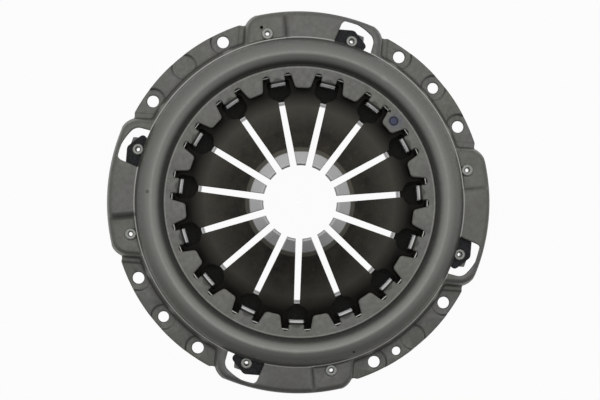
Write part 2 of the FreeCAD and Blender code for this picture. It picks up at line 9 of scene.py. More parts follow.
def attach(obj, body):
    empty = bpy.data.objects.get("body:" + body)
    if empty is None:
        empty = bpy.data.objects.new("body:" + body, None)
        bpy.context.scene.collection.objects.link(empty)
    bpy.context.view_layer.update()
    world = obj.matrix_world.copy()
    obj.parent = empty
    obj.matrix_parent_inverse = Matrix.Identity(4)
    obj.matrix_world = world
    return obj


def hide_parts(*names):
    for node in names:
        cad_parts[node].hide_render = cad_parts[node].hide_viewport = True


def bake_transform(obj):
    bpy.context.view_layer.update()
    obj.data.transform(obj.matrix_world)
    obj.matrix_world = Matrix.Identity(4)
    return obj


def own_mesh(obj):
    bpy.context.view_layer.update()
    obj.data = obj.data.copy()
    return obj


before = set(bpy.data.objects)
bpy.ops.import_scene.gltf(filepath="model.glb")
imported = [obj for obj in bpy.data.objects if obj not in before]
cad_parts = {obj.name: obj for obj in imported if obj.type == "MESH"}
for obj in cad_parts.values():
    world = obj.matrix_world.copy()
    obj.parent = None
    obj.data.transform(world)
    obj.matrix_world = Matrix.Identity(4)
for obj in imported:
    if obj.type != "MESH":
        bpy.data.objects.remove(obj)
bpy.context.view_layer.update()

mm = 0.001
photoTurn = math.radians(40.3)  # the photograph shows the part's X axis this far up from its right
lobeTurn = math.radians(-45)    # middle of the first strap lobe
quarter = math.radians(90)      # from one lobe to the next
slotTurn = math.radians(-35.9)  # middle of the first spring slot
fingers = 15
fingerStep = math.radians(360 / fingers)
hair = 0.02                     # millimetres that keep two faces from lying in one plane
bodyCover, bodyPlate = "cover", "pressure_plate"


# Distances: negative in the metal, in millimetres

def join(a, b, fillet=0.0):
    # Both forms together, the inner corner between them filled with a round of this radius.
    if not fillet:
        return np.minimum(a, b)
    return np.maximum(fillet, np.minimum(a, b)) - np.hypot(np.maximum(fillet - a, 0), np.maximum(fillet - b, 0))


def meet(a, b, edge=0.0):
    # What both forms share, the outer corner rounded with this radius.
    if not edge:
        return np.maximum(a, b)
    return np.minimum(-edge, np.maximum(a, b)) + np.hypot(np.maximum(edge + a, 0), np.maximum(edge + b, 0))


def beside(x, y, start, end):
    # Distance from the line through two points, positive on its left.
    dx, dy = end[0] - start[0], end[1] - start[1]
    return (dx * (y - start[1]) - dy * (x - start[0])) / math.hypot(dx, dy)


def leaning(out, up, lean):
    # Distance from a face that leans by this angle, out and up being measured from a point on it.
    return out * math.cos(lean) + up * math.sin(lean)


def fold(angle, first, step):
    # The angle from the middle of the nearest of the copies that start at first, one each step.
    return (angle - first + step / 2) % step - step / 2


def localAxes(x, y, first, step):
    # A place's distances outwards and sideways, as the nearest of the copies that start at first sees it.
    radius, turn = np.hypot(x, y), fold(np.arctan2(y, x), first, step)
    return radius * np.cos(turn), radius * np.sin(turn)


def ease(value):
    # Runs from 0 to 1 with a soft start and end.
    value = np.clip(value, 0, 1)
    return value * value * (3 - 2 * value)


def roundedPath(corners, steps=10):
    # A run of points through corners (a, b) or (a, b, radius), each radius drawn as an arc.
    points = [np.array(corners[0][:2], float)]
    for before, corner, after in zip(corners, corners[1:], corners[2:]):
        here = np.array(corner[:2], float)
        if len(corner) == 2:
            points.append(here)
            continue
        back = np.array(before[:2], float) - here
        ahead = np.array(after[:2], float) - here
        back /= np.linalg.norm(back)
        ahead /= np.linalg.norm(ahead)
        half = math.acos(np.clip(back @ ahead, -1, 1)) / 2
        middle = here + (back + ahead) / np.linalg.norm(back + ahead) * corner[2] / math.sin(half)
        first = here + back * corner[2] / math.tan(half) - middle
        last = here + ahead * corner[2] / math.tan(half) - middle
        sweep = math.pi - 2 * half
        for share in np.linspace(0, 1, steps + 1):
            spoke = first * math.sin((1 - share) * sweep) + last * math.sin(share * sweep)
            points.append(middle + spoke / math.sin(sweep))
    points.append(np.array(corners[-1][:2], float))
    return np.array(points)


# Meshes from arrays

def newPiece(name, points, faces):
    # points in millimetres; faces are rows of three or four corners.
    mesh = bpy.data.meshes.new(name)
    mesh.vertices.add(len(points))
    mesh.vertices.foreach_set("co", (np.asarray(points) * mm).astype(np.float32).ravel())
    corners = faces.shape[1]
    mesh.loops.add(faces.size)
    mesh.loops.foreach_set("vertex_index", faces.astype(np.int32).ravel())
    mesh.polygons.add(len(faces))
    mesh.polygons.foreach_set("loop_start", np.arange(0, faces.size, corners, dtype=np.int32))
    mesh.update(calc_edges=True)
    piece = bpy.data.objects.new(name, mesh)
    bpy.context.scene.collection.objects.link(piece)
    return piece


def smooth(piece, angle=35):
    # Shades the piece smoothly, apart from edges that turn by more than this many degrees.
    piece.data.polygons.foreach_set("use_smooth", np.ones(len(piece.data.polygons), bool))
    piece.data.set_sharp_from_angle(angle=math.radians(angle))


def outward(piece):
    # Turns the faces of a closed piece outwards.
    mesh = bmesh.new()
    mesh.from_mesh(piece.data)
    bmesh.ops.recalc_face_normals(mesh, faces=mesh.faces)
    mesh.to_mesh(piece.data)
    mesh.free()


def thin(piece, most):
    # Merges the small triangles of flat stretches until the piece has at most this many.
    count = sum(len(p.vertices) - 2 for p in piece.data.polygons)
    if count <= most:
        return
    modifier = piece.modifiers.new("thin", "DECIMATE")
    modifier.ratio = most / count
    settled = piece.evaluated_get(bpy.context.evaluated_depsgraph_get())
    mesh = bpy.data.meshes.new_from_object(settled)
    piece.modifiers.clear()
    piece.data = mesh


def polarGrid(radii, turns):
    # x and y of a grid round the axis: the radius changes down its rows, the angle in equal steps along them.
    angles = np.arange(turns) * 2 * math.pi / turns
    return np.outer(radii, np.cos(angles)), np.outer(radii, np.sin(angles))


def trimmed(x, y, outline, closed=True, nearest=0.35, rounds=4):
    # Points and quads of a grid inside an outline. Grid points just outside it, or inside but nearer to it
    # than this share of a cell, are moved along its gradient, in a few rounds, until they lie on it. A closed
    # grid goes round in a circle.
    tiny, leastSlope = 0.01, 0.25
    xs, ys = [np.concatenate([v, v[:, :1]], 1) if closed else v for v in (x, y)]
    steps = np.hypot(np.diff(xs, axis=1), np.diff(ys, axis=1))
    cell = steps if closed else np.concatenate([steps, steps[:, -1:]], 1)
    across = np.hypot(np.diff(x, axis=0), np.diff(y, axis=0))
    cell = np.minimum(cell, np.concatenate([across, across[-1:]]))
    solid = outline(x, y) < -nearest * cell
    wide = solid.copy()
    wide[:, 1:] |= solid[:, :-1]
    wide[:, :-1] |= solid[:, 1:]
    if closed:
        wide |= np.roll(solid, 1, 1) | np.roll(solid, -1, 1)
    near = wide.copy()
    near[1:] |= wide[:-1]
    near[:-1] |= wide[1:]
    edge = near & ~solid
    x, y = x.copy(), y.copy()
    ex, ey = x[edge], y[edge]
    for attempt in range(rounds):
        away = outline(ex, ey)
        gx = (outline(ex + tiny, ey) - outline(ex - tiny, ey)) / (2 * tiny)
        gy = (outline(ex, ey + tiny) - outline(ex, ey - tiny)) / (2 * tiny)
        scale = away / np.maximum(gx * gx + gy * gy, leastSlope)
        ex, ey = ex - gx * scale, ey - gy * scale
    x[edge], y[edge] = ex, ey
    index = np.arange(x.size).reshape(x.shape)
    if closed:
        index = np.concatenate([index, index[:, :1]], 1)
    quads = np.stack([index[:-1, :-1], index[1:, :-1], index[1:, 1:], index[:-1, 1:]], -1).reshape(-1, 4)
    quads = quads[solid.ravel()[quads].any(1)]
    used, quads = np.unique(quads, return_inverse=True)
    return x.ravel()[used], y.ravel()[used], quads.reshape(-1, 4)


def closedSheet(name, x, y, quads, top, under):
    # Two height fields over the same points, joined by a wall along each open edge.
    count = len(x)
    points = np.concatenate([np.stack([x, y, top], -1), np.stack([x, y, under], -1)])
    starts = quads.ravel()
    ends = np.roll(quads, -1, 1).ravel()
    keys = np.minimum(starts, ends).astype(np.int64) * count + np.maximum(starts, ends)
    where, often = np.unique(keys, return_index=True, return_counts=True)[1:]
    a, b = starts[where[often == 1]], ends[where[often == 1]]
    walls = np.stack([b, a, a + count, b + count], -1)
    return newPiece(name, points, np.concatenate([quads, quads[:, ::-1] + count, walls]))


def heightOf(field, x, y, level, low=-8.0, high=48.0, halvings=22):
    # Halves the range in z until the field, which grows upwards, has this level there.
    bottom, top = np.full_like(x, low), np.full_like(x, high)
    for attempt in range(halvings):
        middle = (bottom + top) / 2
        above = field(x, y, middle) > level
        top = np.where(above, middle, top)
        bottom = np.where(above, bottom, middle)
    return (bottom + top) / 2


def stripSection(half, thick, edge):
    # A flat bar's section with rounded edges: sideways from -half to half, outwards from 0 to thick.
    return roundedPath([
        (0, 0), (half, 0, edge), (half, thick, edge), (-half, thick, edge), (-half, 0, edge), (0, 0),
    ], steps=3)[1:-1]


def swept(path, section):
    # A section (sideways, outward) carried along a path in a plane, outward to the path's left.
    # Returns points (along, up, sideways) and quads with both ends closed.
    run = np.gradient(path, axis=0)
    run /= np.linalg.norm(run, axis=1)[:, None]
    left = np.stack([-run[:, 1], run[:, 0]], -1)
    flat = path[:, None, :] + left[:, None, :] * section[None, :, 1:2]
    side = np.broadcast_to(section[:, 0], flat.shape[:2])
    points = np.concatenate([flat, side[:, :, None]], -1)
    rows, columns = side.shape
    index = np.arange(rows * columns).reshape(rows, columns)
    ahead = np.roll(index, -1, 1)
    walls = np.stack([index[:-1], ahead[:-1], ahead[1:], index[1:]], -1).reshape(-1, 4)
    half = np.arange(columns // 2 - 1)
    cap = np.stack([half, half + 1, columns - 2 - half, columns - 1 - half], -1)
    return points.reshape(-1, 3), np.concatenate([walls, cap, cap + index[-1, 0]])


def lathe(name, profile, turns, x, y):
    # A closed profile (radius, height) turned about an upright axis at x, y.
    angles = np.arange(turns) * 2 * math.pi / turns
    points = np.stack([
        x + np.outer(np.cos(angles), profile[:, 0]),
        y + np.outer(np.sin(angles), profile[:, 0]),
        np.broadcast_to(profile[:, 1], (turns, len(profile))),
    ], -1)
    index = np.arange(turns * len(profile)).reshape(turns, len(profile))
    after = np.roll(index, -1, 0)
    quads = np.stack([index, after, np.roll(after, -1, 1), np.roll(index, -1, 1)], -1)
    return newPiece(name, points.reshape(-1, 3), quads.reshape(-1, 4))


def turned(x, y, angle):
    # A point moved round the axis by this angle.
    return x * math.cos(angle) - y * math.sin(angle), x * math.sin(angle) + y * math.cos(angle)


# Materials

def colour(code):
    # An sRGB hex value as the linear colour that the shader wants.
    parts = [int(code[i:i + 2], 16) / 255 for i in (1, 3, 5)]
    return [c / 12.92 if c <= 0.04045 else ((c + 0.055) / 1.055) ** 2.4 for c in parts] + [1.0]


def addNode(tree, kind, settings=None, *inputs):
    # Adds a node. Settings name its properties, or its sockets by name or number; inputs go to its first
    # sockets in turn. A value that is another node's output is linked, a hex code is read as a colour, and
    # stops fill a colour ramp. Returns the node's first output.
    node = tree.nodes.new(kind)
    settings = dict(settings or {})
    settings.update(enumerate(inputs))
    for key, value in settings.items():
        if key == "stops":
            elements = node.color_ramp.elements
            while len(elements) < len(value):
                elements.new(0.5)
            for element, (place, shade) in zip(elements, value):
                element.position = place
                element.color = colour(shade) if isinstance(shade, str) else (shade, shade, shade, 1)
        elif isinstance(key, str) and key not in node.inputs:
            setattr(node, key, value)
        elif isinstance(value, bpy.types.NodeSocket):
            tree.links.new(value, node.inputs[key])
        else:
            node.inputs[key].default_value = colour(value) if isinstance(value, str) else value
    return next(socket for socket in node.outputs if socket.enabled)


def newMaterial(name, metallic):
    # A material with its node tree, its shader and the place on the piece, in the part's own axes.
    material = bpy.data.materials.new(name)
    material.use_nodes = True
    tree = material.node_tree
    shader = tree.nodes["Principled BSDF"]
    shader.inputs["Metallic"].default_value = metallic
    texture = tree.nodes.new("ShaderNodeTexCoord")
    return material, tree, shader, texture.outputs["Object"]


def noise(tree, place, size, **settings):
    # Noise with grains of about this many millimetres.
    return addNode(tree, "ShaderNodeTexNoise", {"Scale": 1 / (size * mm), **settings}, place)


def ramp(tree, value, *stops):
    # A colour ramp: each stop has its place and a grey or a hex code.
    return addNode(tree, "ShaderNodeValToRGB", {"stops": stops}, value)


def mixed(tree, first, second, share):
    # The first colour with this share of the second.
    return addNode(tree, "ShaderNodeMix", {"data_type": "RGBA", 6: first, 7: second}, share)


def computed(tree, operation, *inputs):
    # One step of arithmetic.
    return addNode(tree, "ShaderNodeMath", {"operation": operation}, *inputs)


def fromAxis(tree, place):
    # A place with its height left out, and its distance from the part's axis.
    flat = addNode(tree, "ShaderNodeVectorMath", {"operation": "MULTIPLY", 1: (1, 1, 0)}, place)
    return flat, addNode(tree, "ShaderNodeVectorMath", {"operation": "LENGTH"}, flat)


def distanceAlong(tree, place, direction):
    # How far a place lies in this direction.
    return addNode(tree, "ShaderNodeVectorMath", {"operation": "DOT_PRODUCT", 1: direction}, place)


def finishMetal(tree, shader, base, rough, grain, strength, depth):
    # Joins the colour, the roughness and a grain of this depth in millimetres to the shader.
    tree.links.new(base, shader.inputs["Base Color"])
    tree.links.new(rough, shader.inputs["Roughness"])
    relief = addNode(tree, "ShaderNodeBump", {"Strength": strength, "Distance": depth * mm, "Height": grain})
    tree.links.new(relief, shader.inputs["Normal"])


def pressedSteel(name, bands, marks=()):
    # Phosphated and oiled pressing steel: a dark grey satin with olive and brown patches and paler scuffs.
    # The hooks and the ring wire take it too, with bands of their own. Bands are rings about the axis of
    # painted
    # shade and painted highlight: a shade, then (radius, strength) from inside outwards. Marks are small
    # spots: angle in degrees, distance from the axis, size, shade and strength.
    material, tree, shader, place = newMaterial(name, 0.85)
    patches = ramp(tree, noise(tree, place, 42, Detail=3), (0.38, 0.0), (0.62, 1.0))
    grain = noise(tree, place, 3.2, Detail=5, Roughness=0.65)
    mottle = ramp(tree, grain, (0.3, 0.0), (0.7, 0.5))
    scuffs = ramp(tree, noise(tree, place, 7.5, Detail=6, Roughness=0.7), (0.63, 0.0), (0.72, 0.35))
    base = mixed(tree, "#898988", "#898a83", patches)
    base = mixed(tree, base, "#74716d", mottle)
    base = mixed(tree, base, "#a5a49d", scuffs)
    flat, radius = fromAxis(tree, place)
    # each band paints shade or a highlight into the colour
    for shade, profile in bands:
        first, last = profile[0][0], profile[-1][0]
        share = addNode(tree, "ShaderNodeMapRange", {}, radius, first * mm, last * mm)
        stops = [((at - first) / (last - first), strength) for at, strength in profile]
        base = mixed(tree, base, shade, ramp(tree, share, *stops))
    for angle, distance, size, shade, strength in marks:
        angle = math.radians(angle)
        spot = (distance * mm * math.cos(angle), distance * mm * math.sin(angle), 0)
        away = addNode(tree, "ShaderNodeVectorMath", {"operation": "DISTANCE", 1: spot}, flat)
        share = computed(tree, "MULTIPLY", away, 0.5 / (size * mm))
        base = mixed(tree, base, shade, ramp(tree, share, (0.36, strength), (0.5, 0.0)))
    rough = computed(tree, "MULTIPLY_ADD", grain, 0.2, 0.34)
    fine = noise(tree, place, 1.1, Detail=5, Roughness=0.6)
    finishMetal(tree, shader, base, rough, fine, 0.35, 0.05)
    return material


def temperedSteel(sizes):
    # Tempered spring steel: nearly black brown with oil stains, dusty half way out, and darkened with painted
    # shade under the teeth. The finger tips are polished bright and smooth by the bearing, with a paler halo
    # round them.
    # Each zone's border wanders.
    material, tree, shader, place = newMaterial("temperedSpringSteel", 0.8)
    radius = fromAxis(tree, place)[1]
    stains = noise(tree, place, 11, Detail=6, Roughness=0.7)
    spots = noise(tree, place, 2.6, Detail=3)
    brown = ramp(tree, stains, (0.35, 0.0), (0.68, 1.0))
    dust = ramp(tree, spots, (0.64, 0.0), (0.72, 0.35))
    base = mixed(tree, "#2f2f2c", "#48443b", brown)
    base = mixed(tree, base, "#5f5c55", dust)
    wobble = computed(tree, "MULTIPLY_ADD", noise(tree, place, 9), sizes["wander"] * mm, radius)
    # the second zone is painted shade under the teeth
    zones = [
        ("dusty", "#6a675f", 0.5), ("shadedUnderTeeth", "#141312", 0.88),
        ("halo", "#8b877c", 0.4), ("polished", "#bfc0bf", 1.0),
    ]
    for zone, shade, strength in zones:
        start, end = sizes[zone]
        share = addNode(tree, "ShaderNodeMapRange", {}, wobble, start * mm, end * mm, 0, strength)
        base = mixed(tree, base, shade, share)
    rough = computed(tree, "MULTIPLY_ADD", stains, 0.2, 0.36)
    rough = computed(tree, "MULTIPLY_ADD", share, -0.16, rough)
    fine = noise(tree, place, 1.4, Detail=4)
    finishMetal(tree, shader, base, rough, fine, 0.3, 0.04)
    return material


def grainedMetal(name, first, second, metallic, roughness, grainSize, depth):
    # A metal with two close shades in a fine grain, whose size and depth are in millimetres.
    material, tree, shader, place = newMaterial(name, metallic)
    grain = noise(tree, place, grainSize, Detail=4)
    base = mixed(tree, first, second, ramp(tree, grain, (0.35, 0.0), (0.65, 1.0)))
    rough = computed(tree, "MULTIPLY_ADD", grain, 0.2, roughness - 0.1)
    finishMetal(tree, shader, base, rough, grain, 0.4, depth)
    return material


def castIron(sizes):
    # Grey cast iron: dark, matt and sandy as cast and darkened further with painted shade, bright on the lugs
    # and the friction face, with fine turning rings on that face and the bore. The coned bore is painted white
    # as a painted reflection, with a thin darker line round it.
    material, tree, shader, place = newMaterial("greyCastIron", 0.6)
    radius = fromAxis(tree, place)[1]
    height = distanceAlong(tree, place, (0, 0, 1))
    face = computed(tree, "LESS_THAN", height, (sizes["face"] + sizes["faceSkin"]) * mm)
    bore = computed(tree, "LESS_THAN", radius, sizes["boreHigh"] * mm)
    turnedPart = computed(tree, "MAXIMUM", face, bore)
    lug = computed(tree, "GREATER_THAN", radius, sizes["outer"] * mm)
    sand = noise(tree, place, 1.6, Detail=5, Roughness=0.7)
    rings = computed(tree, "MULTIPLY", radius, 2 * math.pi / (sizes["turningPitch"] * mm))
    rings = computed(tree, "SINE", rings)
    # the sandy base is darker than the iron's own grey: painted shade for the plate's back under the spring
    base = mixed(tree, "#282826", "#393835", ramp(tree, sand, (0.3, 0.0), (0.7, 1.0)))
    base = mixed(tree, base, "#b3b5b0", lug)
    base = mixed(tree, base, "#b4b5b3", face)
    # painted reflection of the pale floor on the coned bore, with a darker line in it
    line = addNode(tree, "ShaderNodeMapRange", {}, radius, sizes["boreLow"] * mm, sizes["boreHigh"] * mm)
    line = ramp(tree, line, (0.3, "#ffffff"), (0.36, "#adadab"), (0.44, "#adadab"), (0.5, "#ffffff"))
    base = mixed(tree, base, line, bore)
    rough = computed(tree, "MULTIPLY_ADD", turnedPart, -0.2, 0.58)
    surface = mixed(tree, sand, rings, turnedPart)
    finishMetal(tree, shader, base, rough, surface, 0.5, 0.12)
    return material


# Pressed cover

cover = {
    "steel": 3.2,
    "toothTop": 37.5, "toothTip": 85.9, "toothCorner": 2.0,
    "notchRoot": 97.0, "notchFloor": 10.7, "notchMouth": 12.7, "notchMouthRadius": 83.3, "notchRound": 2.2,
    "hookHalf": 5.7, "hookEdge": 1.1, "hookStart": 92.6, "hookLap": 1.0, "hookLeg": 88.4, "hookBend": 3.6,
    "hookEnd": 99.5, "hookFloor": 23.555,
    "beadInner": 102.9, "beadSlope": math.radians(61), "beadCrest": 42.0,
    "beadFootRound": 0.5, "beadInnerRound": 8.7, "beadOuterRound": 12.8,
    "shoulder": 124.3, "shoulderDraft": math.radians(5), "ledge": 25.4, "ledgeFillet": 0.6, "ledgeEdge": 0.5,
    "wallFoot": 129.5, "wallDraft": math.radians(10), "footRound": 2.2,
    "flangeRadius": 143.5, "ribRise": 1.2, "padRadius": 8.6, "ribEase": 1.8,
    "endStep": 4.6, "endRise": 0.9, "endEase": 1.6, "endTrim": 1.6,
    "boltCircle": 136.0, "boltTurn": math.radians(15), "boltHole": 4.5, "dowelHole": 4.15,
    "tagHole": 3.3, "tagCircle": 137.0, "tagTurn": math.radians(263),
    "lobeRadius": 147.2, "lobeBase": 1.5, "lobeDraft": math.radians(6),
    "lobeEnd": 53.6, "lobeLonger": 0.9, "lobeEndDraft": math.radians(5.5),
    "lobeTop": 27.5, "lobeCorner": 9.0, "lobeRound": 3.6,
    "lobeFillet": 1.3, "lobeMouth": 4.0, "flangeReach": 8.0,
    "seatTop": 24.0, "seatTurn": math.radians(9.7), "seatLean": math.radians(35), "seatRound": 1.6,
    "portWall": 124.9, "portReach": 142.2, "portRound": 3.6, "portWallRound": 0.8,
    "portNear": ((141.3, -22.3), (126.0, -17.0)), "portFar": ((126.0, -49.3), (141.3, -31.0)),
    "portEnd": ((118.1, -44.9), (127.4, -46.6)),
    "rivetX": 125.3, "coverRivetY": 34.6, "rivetHole": 3.05,
    "edgeRoll": 0.7, "edgeDrop": 0.4, "sharpSide": 0.3, "sharpEnd": 1.5, "leastSteel": 0.5,
    "turns": 1440, "mostTriangles": 190000, "gridMargin": 1.2, "rowStep": 0.4,
    "rows": [(112.0, 0.6), (120.5, 0.22), (131.0, 0.45), (142.5, 0.25)],  # a radius, and the step beyond it
}
# A painted highlight along a line inside the bead, painted shade in its foot, and painted highlights over its
# crest and along the ledge
coverBands = [
    ("#bdbdb6", [(101.0, 0.0), (101.3, 0.5), (101.6, 0.5), (101.9, 0.0)]),
    ("#0f0f0e", [(101.9, 0.0), (102.6, 0.9), (104.2, 0.75), (106.5, 0.36), (109.0, 0.0)]),
    ("#a4a4a0", [(106.0, 0.0), (109.5, 1.0), (114.5, 0.9), (119.0, 0.5), (121.5, 0.0)]),
    ("#d6d6d0", [(124.55, 0.0), (124.8, 1.0), (125.3, 1.0), (125.6, 0.0)]),
]
# Painted shade on a hook's front, a painted highlight on its bend and painted shade on the root behind
hookBands = [
    ("#0c0c0b", [(86.0, 0.0), (87.9, 0.9), (88.7, 0.9), (88.9, 0.0)]),
    ("#ffffff", [(88.7, 0.0), (89.0, 1.0), (90.6, 1.0), (90.9, 0.0)]),
    ("#1b1a17", [(90.8, 0.0), (91.1, 0.9), (92.4, 0.8), (93.4, 0.0)]),
]
# Painted shade over the wire where the notches show it, with a painted highlight along its crest
wireBands = [
    ("#0e0e0d", [(94.6, 0.0), (94.9, 0.92), (97.6, 0.92), (98.0, 0.0)]),
    ("#f4f4ee", [(95.9, 0.0), (96.1, 1.0), (96.5, 1.0), (96.7, 0.0)]),
]
# The round ink dot and its smear, dark specks that paint the shade of small holes and nicks, rubbed places, and
# painted shade at each hook's root
coverMarks = [
    (0.0, 94.3, 7.0, "#6f748c", 0.3), (0.5, 93.4, 4.1, "#0e0e12", 0.95), (0.5, 93.4, 3.0, "#5c5f78", 0.9),
    (5.0, 96.3, 1.2, "#1b1b1b", 0.9), (61.9, 135.6, 1.5, "#080808", 1.0), (249.5, 119.9, 1.0, "#101010", 0.9),
    (135.8, 114.6, 1.6, "#5b5a56", 0.6), (15.5, 112.0, 2.6, "#b9b8b0", 0.35),
    (228.0, 113.5, 3.2, "#b4b3ab", 0.3),
]
# painted shade at each hook's root
coverMarks += [
    (math.degrees(slotTurn) + 360 / fingers * finger, 90.6, 4.8, "#2b2a26", 0.5) for finger in range(fingers)]


def lobeInset(radius, angle):
    # How far a point lies inside the nearer end wall of its lobe. The end with the port is a little longer.
    side = radius * np.sin(fold(angle, lobeTurn, quarter))
    return cover["lobeEnd"] - cover["lobeLonger"] * np.sign(side) - np.abs(side)


def fromBolt(px, py):
    # Distance from the nearer of a sector's two bolt holes, px outwards and py sideways.
    boltX = cover["boltCircle"] * math.cos(cover["boltTurn"])
    boltY = cover["boltCircle"] * math.sin(cover["boltTurn"])
    return np.hypot(px - boltX, np.abs(py) - boltY)


def ribShare(x, y):
    # 1 on the flange's ribs and 0 on the round pads about its holes and at the sector's ends.
    c = cover
    px, py = localAxes(x, y, 0, quarter)
    near = np.minimum(fromBolt(px, py), np.hypot(px - c["boltCircle"], py))
    within = (c["boltTurn"] - np.abs(fold(np.arctan2(y, x), 0, quarter))) * np.hypot(x, y)
    return ease((near - c["padRadius"]) / c["ribEase"]) * ease(within / c["ribEase"])


def drumField(radius, z):
    # The tooth ring's plane, the bead's slope and crest, and the leaning wall with the small ledge round it.
    c = cover
    slope = leaning(z - c["toothTop"], c["beadInner"] - radius, c["beadSlope"])
    bead = meet(slope, z - c["beadCrest"], c["beadInnerRound"])
    upper = leaning(radius - c["shoulder"], z - c["ledge"], c["shoulderDraft"])
    crown = meet(join(z - c["toothTop"], bead, c["beadFootRound"]), upper, c["beadOuterRound"])
    lower = leaning(radius - c["wallFoot"], z - c["steel"], c["wallDraft"])
    return join(crown, meet(lower, z - c["ledge"], c["ledgeEdge"]), c["ledgeFillet"])


def lobeField(radius, angle, z):
    # Outer wall and end walls lean in; the rivet's seat is a step below the plateau.
    c = cover
    turn = fold(angle, lobeTurn, quarter)
    outer = leaning(radius - c["lobeRadius"], z - c["lobeBase"], c["lobeDraft"])
    end = leaning(-lobeInset(radius, angle), z - c["lobeBase"], c["lobeEndDraft"])
    step = leaning(radius * np.sin(turn - c["seatTurn"]), z - c["seatTop"], c["seatLean"])
    high = meet(z - c["lobeTop"], step, c["seatRound"])
    roof = join(z - c["seatTop"], high, c["seatRound"])
    return meet(meet(outer, end, c["lobeCorner"]), roof, c["lobeRound"])


def coverField(x, y, z):
    # The drum, the lobes, and the flange with its ribs, which rises a little at the sector's ends.
    c = cover
    radius, angle = np.hypot(x, y), np.arctan2(y, x)
    inset = lobeInset(radius, angle)
    rib = c["steel"] + c["ribRise"] * ribShare(x, y)
    rib = rib + c["endRise"] * ease((c["endStep"] + inset) / c["endEase"])
    flange = np.maximum(z - rib, inset - c["flangeReach"])
    drum = join(drumField(radius, z), flange, c["footRound"])
    return join(drum, lobeField(radius, angle, z), c["lobeFillet"])


def toothOutline(x, y):
    # Teeth and hook roots: an open ring with two notches beside each hook.
    c = cover
    px, py = localAxes(x, y, slotTurn, fingerStep)
    side = np.abs(py)
    flank = beside(px, side, (c["notchRoot"], c["notchFloor"]), (c["notchMouthRadius"], c["notchMouth"]))
    tooth = meet(flank, c["toothTip"] - np.hypot(x, y), c["toothCorner"])
    stub = np.maximum(side - c["hookHalf"], c["hookStart"] - px)
    ring = join(c["notchRoot"] - px, tooth, c["notchRound"])
    return join(ring, stub, c["notchRound"])


def portOutline(px, py):
    # The port in a lobe's own axes, px outwards and py along it: an arc outside, three straight sides, and the
    # drum's wall inside.
    c = cover
    shape = np.hypot(px, py) - c["portReach"]
    for side in ("portNear", "portFar", "portEnd"):
        shape = meet(shape, -beside(px, py, *c[side]), c["portRound"])
    return meet(shape, c["portWall"] - np.hypot(px, py), c["portWallRound"])


def coverOutline(x, y):
    # Flange and lobes from above, less the teeth's notches, the bolt, dowel, tag and rivet holes and the ports.
    c = cover
    radius = np.hypot(x, y)
    inset = lobeInset(radius, np.arctan2(y, x))
    lobes = meet(radius - c["lobeRadius"], -inset, c["lobeCorner"])
    flange = c["flangeRadius"] - c["endTrim"] * ease((c["endStep"] + inset) / c["endStep"])
    shape = np.maximum(join(radius - flange, lobes), toothOutline(x, y))
    shape = np.maximum(shape, c["boltHole"] - fromBolt(*localAxes(x, y, 0, quarter)))
    shape = np.maximum(shape, c["dowelHole"] - np.hypot(np.abs(x) - c["boltCircle"], y))
    tagX, tagY = c["tagCircle"] * math.cos(c["tagTurn"]), c["tagCircle"] * math.sin(c["tagTurn"])
    shape = np.maximum(shape, c["tagHole"] - np.hypot(x - tagX, y - tagY))
    px, py = localAxes(x, y, lobeTurn, quarter)
    shape = np.maximum(shape, c["rivetHole"] - np.hypot(px - c["rivetX"], py - c["coverRivetY"]))
    return np.maximum(shape, -portOutline(px, py))


def makeCover():
    # The top is where the cover's field is zero, and the underside where it is one steel thickness inside.
    c = cover
    rows = [(c["toothTip"] - c["gridMargin"], c["rowStep"]), (c["beadInner"], c["rowStep"]), *c["rows"]]
    ends = [start for start, step in rows[1:]] + [c["lobeRadius"] + c["gridMargin"]]
    radii = np.concatenate([np.arange(start, end, step) for (start, step), end in zip(rows, ends)])
    x, y, quads = trimmed(*polarGrid(radii, c["turns"]), coverOutline)
    top = heightOf(coverField, x, y, 0.0)
    under = heightOf(coverField, x, y, -c["steel"])
    inset = lobeInset(np.hypot(x, y), np.arctan2(y, x))
    under = np.maximum(under, c["lobeBase"] * ease(inset / c["lobeMouth"] - 1))
    # Sheared edges are rolled over a little, but not where a hook goes on from the ring
    px, py = localAxes(x, y, slotTurn, fingerStep)
    goesOn = (np.abs(py) < c["hookHalf"] - c["sharpSide"]) & (px < c["hookStart"] + c["sharpEnd"])
    roll = np.clip(1 + coverOutline(x, y) / c["edgeRoll"], 0, 1) ** 2 * c["edgeDrop"] * ~goesOn
    top = np.maximum(top - roll, under + c["leastSteel"])
    piece = closedSheet("cover_pressing", x, y, quads, top, under)
    thin(piece, c["mostTriangles"])
    smooth(piece)
    return piece


def makeHooks():
    # Each hook runs in from the tooth ring, bends down through the spring and back out under the lower ring.
    c = cover
    top, floor = c["toothTop"] - hair, c["hookFloor"] - c["steel"]
    path = roundedPath([
        (c["hookStart"] + c["hookLap"], top),
        (c["hookLeg"], top, c["hookBend"]),
        (c["hookLeg"], floor, c["hookBend"]),
        (c["hookEnd"], floor),
    ])
    points, quads = swept(path, stripSection(c["hookHalf"], c["steel"], c["hookEdge"]))
    allPoints, allQuads = [], []
    for finger in range(fingers):
        x, y = turned(points[:, 0], points[:, 2], slotTurn + finger * fingerStep)
        allPoints.append(np.stack([x, y, points[:, 1]], -1))
        allQuads.append(quads + finger * len(points))
    piece = newPiece("cover_hooks", np.concatenate(allPoints), np.concatenate(allQuads))
    outward(piece)
    smooth(piece)
    return piece


print("cover")
pressing = makeCover()
hooks = makeHooks()
pressing.data.materials.append(pressedSteel("phosphatedPressedSteel", coverBands, coverMarks))
# the hooks' colour carries painted shade and a painted highlight on each bend
hooks.data.materials.append(pressedSteel("hookSteelPaintedLight", hookBands))
for piece in (pressing, hooks):
    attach(piece, bodyCover)
    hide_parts("cover")
print("cover has", len(pressing.data.polygons), "faces")


# Diaphragm spring

